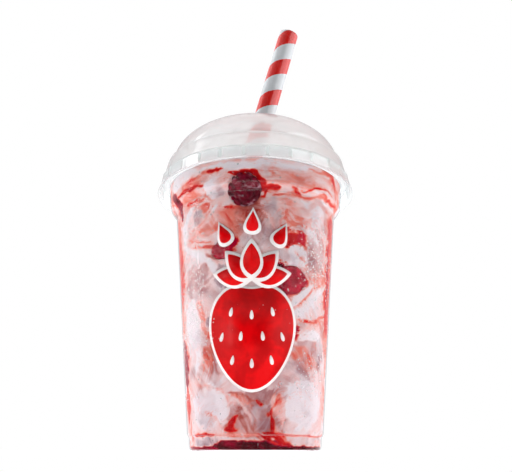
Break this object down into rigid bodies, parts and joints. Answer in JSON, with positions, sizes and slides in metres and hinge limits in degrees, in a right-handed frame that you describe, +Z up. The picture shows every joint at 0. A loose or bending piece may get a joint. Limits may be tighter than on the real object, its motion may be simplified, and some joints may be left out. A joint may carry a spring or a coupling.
{
  "type": "cup of strawberry milkshake",
  "caption": "Clear plastic cup of marbled strawberry milkshake with a domed lid and a striped paper straw that leans through it.",
  "frame": {"origin": "centre of the foot ring, on the surface that the cup stands on", "axes": "+Z up along the cup's axis; the straw leans towards +X; the picture looks along +Y"},
  "size_m": [0.1038, 0.1038, 0.2327],
  "materials": {
    "cup_plastic": "clear, glossy",
    "lid_plastic": "clear, faintly hazy",
    "milkshake": "pale cream marbled with red syrup",
    "straw_paper": "waxed paper, red and white spiral"
  },
  "bodies": {
    "root": {"cup": "cup_plastic", "lid": "lid_plastic", "shake": "milkshake", "straw": "straw_paper"}
  },
  "joints": []
}
